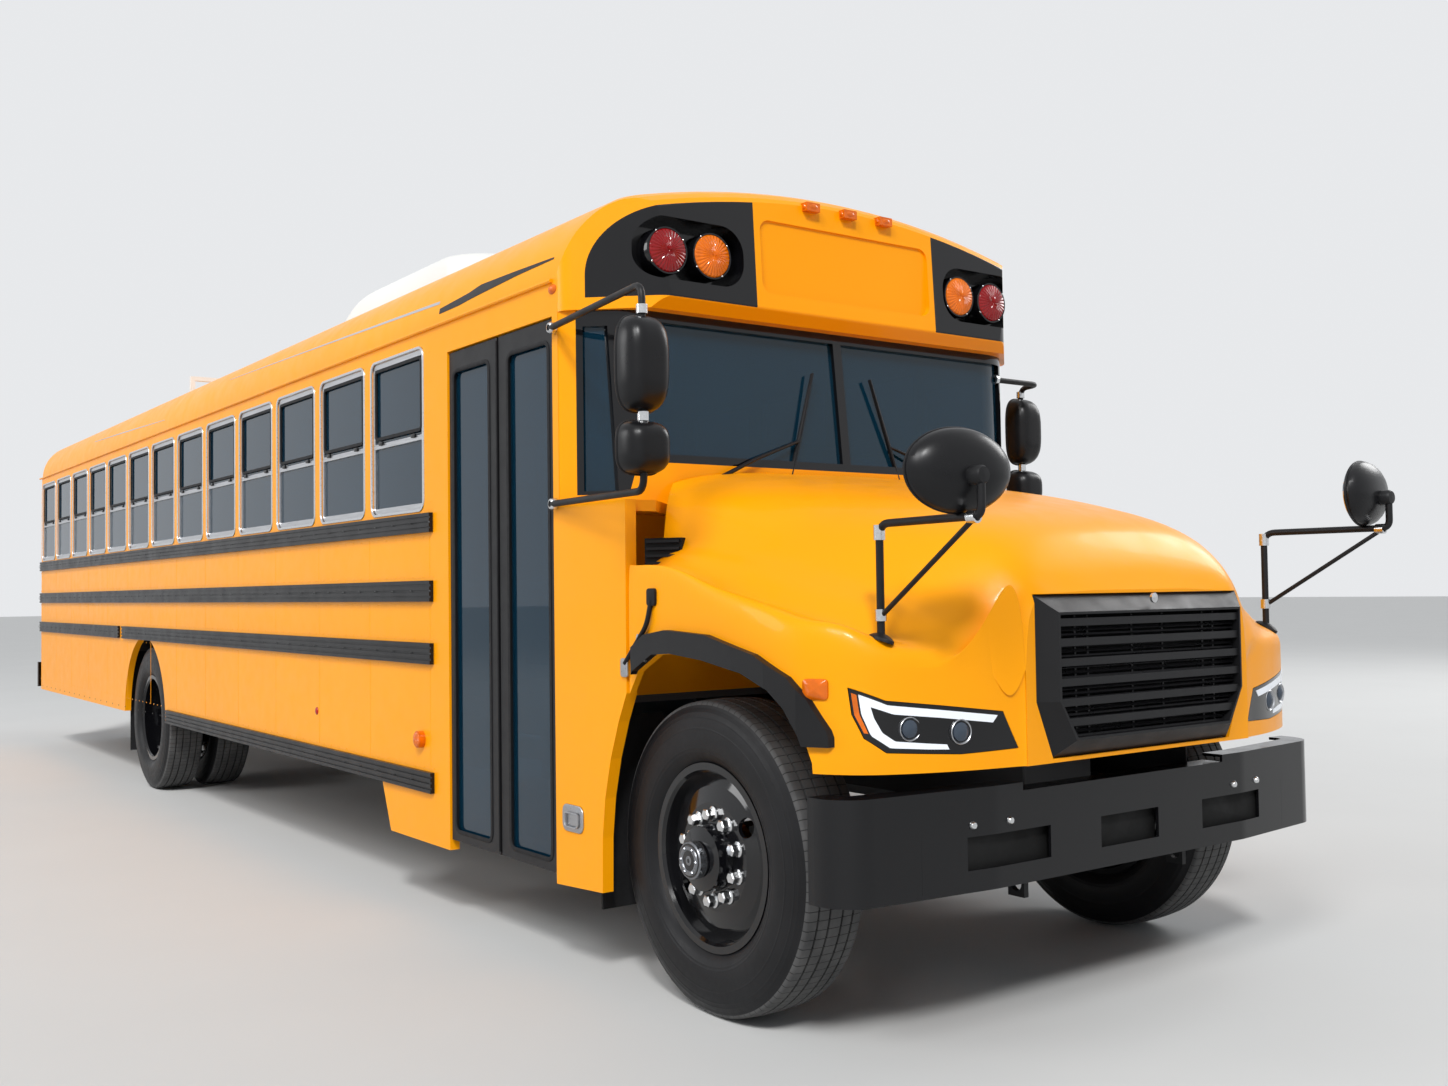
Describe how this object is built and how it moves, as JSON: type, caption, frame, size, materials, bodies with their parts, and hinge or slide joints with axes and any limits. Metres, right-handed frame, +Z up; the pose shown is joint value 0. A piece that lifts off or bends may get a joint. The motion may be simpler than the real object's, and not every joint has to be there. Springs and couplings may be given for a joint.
{
  "type": "school bus",
  "caption": "Conventional school bus: long yellow passenger body with side windows and rub rails, tilting hood with crossview mirrors, two-leaf entry door, rear exit and dual rear wheels.",
  "frame": {"origin": "on the ground under the middle of the overall length, on the centre plane", "axes": "+X forward, +Y to the driver's side, +Z up"},
  "size_m": [12.535, 2.85, 3.2698],
  "materials": {
    "yellow_paint": "gloss",
    "gloss_black": "gloss",
    "frame_black": "satin",
    "rail_black": "satin",
    "wheel_black": "gloss",
    "trim_black": "satin",
    "floor_grey": "satin",
    "window_aluminium": "satin",
    "tinted_glass": "gloss",
    "lamp_glass": "gloss",
    "red_lens": "gloss",
    "amber_lens": "gloss",
    "red_enamel": "gloss",
    "engine_grey": "satin",
    "exhaust_steel": "satin",
    "flap_rubber": "matte",
    "tyre_rubber": "matte",
    "seat_vinyl": "satin",
    "white_plastic": "satin"
  },
  "bodies": {
    "bus": {"frame_rails": "frame_black", "crossmembers": "frame_black", "floor_deck": "floor_grey", "step_well": "floor_grey", "side_wall_right": "yellow_paint", "entry_portal": "yellow_paint", "side_wall_left": "yellow_paint", "front_wall": "yellow_paint", "windshield_frame": "gloss_black", "rear_wall": "yellow_paint", "roof_shell": "yellow_paint", "roof_cap_front": "yellow_paint", "roof_cap_rear": "yellow_paint", "lamp_panels": "gloss_black", "warning_lamps": "red_lens", "window_frames": "window_aluminium", "window_glass": "tinted_glass", "rub_rails": "rail_black", "front_bumper": "gloss_black", "rear_bumper": "gloss_black", "front_axle": "frame_black", "rear_axle": "frame_black", "drive_shaft": "frame_black", "engine_and_radiator": "engine_grey", "fuel_tank": "frame_black", "exhaust": "exhaust_steel", "mud_flaps": "flap_rubber", "seat_cushions": "seat_vinyl", "seat_backs": "seat_vinyl", "seat_legs": "frame_black", "dashboard": "trim_black", "steering_wheel": "trim_black", "side_mirrors": "trim_black", "roof_units": "white_plastic", "small_lamps": "amber_lens"},
    "hood": {"hood_shell": "yellow_paint", "grille": "trim_black", "headlamps": "lamp_glass", "fender_flares": "trim_black", "crossview_mirrors": "trim_black"},
    "door_rear_half": {"door_leaf_rear": "trim_black", "door_glass_rear": "tinted_glass"},
    "door_front_half": {"door_leaf_front": "trim_black", "door_glass_front": "tinted_glass"},
    "rear_exit": {"emergency_door": "yellow_paint", "emergency_door_glass": "tinted_glass"},
    "stop_arm": {"stop_arm": "red_enamel"},
    "steer_left": {"knuckle_left": "frame_black"},
    "steer_right": {"knuckle_right": "frame_black"},
    "tie_rod": {"tie_rod": "frame_black"},
    "wheel_front_left": {"front_tyre_left": "tyre_rubber", "front_rim_left": "wheel_black"},
    "wheel_front_right": {"front_tyre_right": "tyre_rubber", "front_rim_right": "wheel_black"},
    "wheels_rear_left": {"rear_tyres_left": "tyre_rubber", "rear_rims_left": "wheel_black"},
    "wheels_rear_right": {"rear_tyres_right": "tyre_rubber", "rear_rims_right": "wheel_black"}
  },
  "joints": [
    {"name": "hood_tilt", "type": "hinge", "parent": "bus", "child": "hood", "pos_m": [5.9375, 0, 0.845], "axis": [0, 1, 0], "range_deg": [0, 60]},
    {"name": "door_rear_swing", "type": "hinge", "parent": "bus", "child": "door_rear_half", "pos_m": [3.2865, -1.212, 0.35], "axis": [0, 0, -1], "range_deg": [0, 90]},
    {"name": "door_front_swing", "type": "hinge", "parent": "bus", "child": "door_front_half", "pos_m": [4.2075, -1.212, 0.35], "axis": [0, 0, -1], "range_deg": [-90, 0]},
    {"name": "rear_exit_swing", "type": "hinge", "parent": "bus", "child": "rear_exit", "pos_m": [-6.1655, -0.472, 1.04], "axis": [0, 0, 1], "range_deg": [0, 100]},
    {"name": "stop_arm_swing", "type": "hinge", "parent": "bus", "child": "stop_arm", "pos_m": [3.5075, 1.258, 1.59], "axis": [0, 0, -1], "range_deg": [0, 90]},
    {"name": "steering", "type": "hinge", "parent": "bus", "child": "steer_left", "pos_m": [5.0425, 0.88, 0.525], "axis": [0, 0, 1], "range_deg": [-35, 35]},
    {"name": "steering_right", "type": "hinge", "parent": "bus", "child": "steer_right", "pos_m": [5.0425, -0.88, 0.525], "axis": [0, 0, 1], "range_deg": [-35, 35]},
    {"name": "tie_rod_end", "type": "hinge", "parent": "steer_left", "child": "tie_rod", "pos_m": [4.8775, 0.88, 0.395], "axis": [0, 0, 1], "range_deg": [-35, 35]},
    {"name": "front_wheel_left_roll", "type": "hinge", "parent": "steer_left", "child": "wheel_front_left", "pos_m": [5.0425, 0.99, 0.525], "axis": [0, 1, 0], "continuous": true},
    {"name": "front_wheel_right_roll", "type": "hinge", "parent": "steer_right", "child": "wheel_front_right", "pos_m": [5.0425, -0.99, 0.525], "axis": [0, 1, 0], "continuous": true},
    {"name": "rear_wheels_left_roll", "type": "hinge", "parent": "bus", "child": "wheels_rear_left", "pos_m": [-2.0075, 0.878, 0.525], "axis": [0, 1, 0], "continuous": true},
    {"name": "rear_wheels_right_roll", "type": "hinge", "parent": "bus", "child": "wheels_rear_right", "pos_m": [-2.0075, -0.878, 0.525], "axis": [0, 1, 0], "continuous": true}
  ],
  "couplings": [
    {"joint": "steering_right", "follows": "steering", "ratio": 1},
    {"joint": "tie_rod_end", "follows": "steering", "ratio": -1},
    {"joint": "door_front_swing", "follows": "door_rear_swing", "ratio": -1}
  ]
}
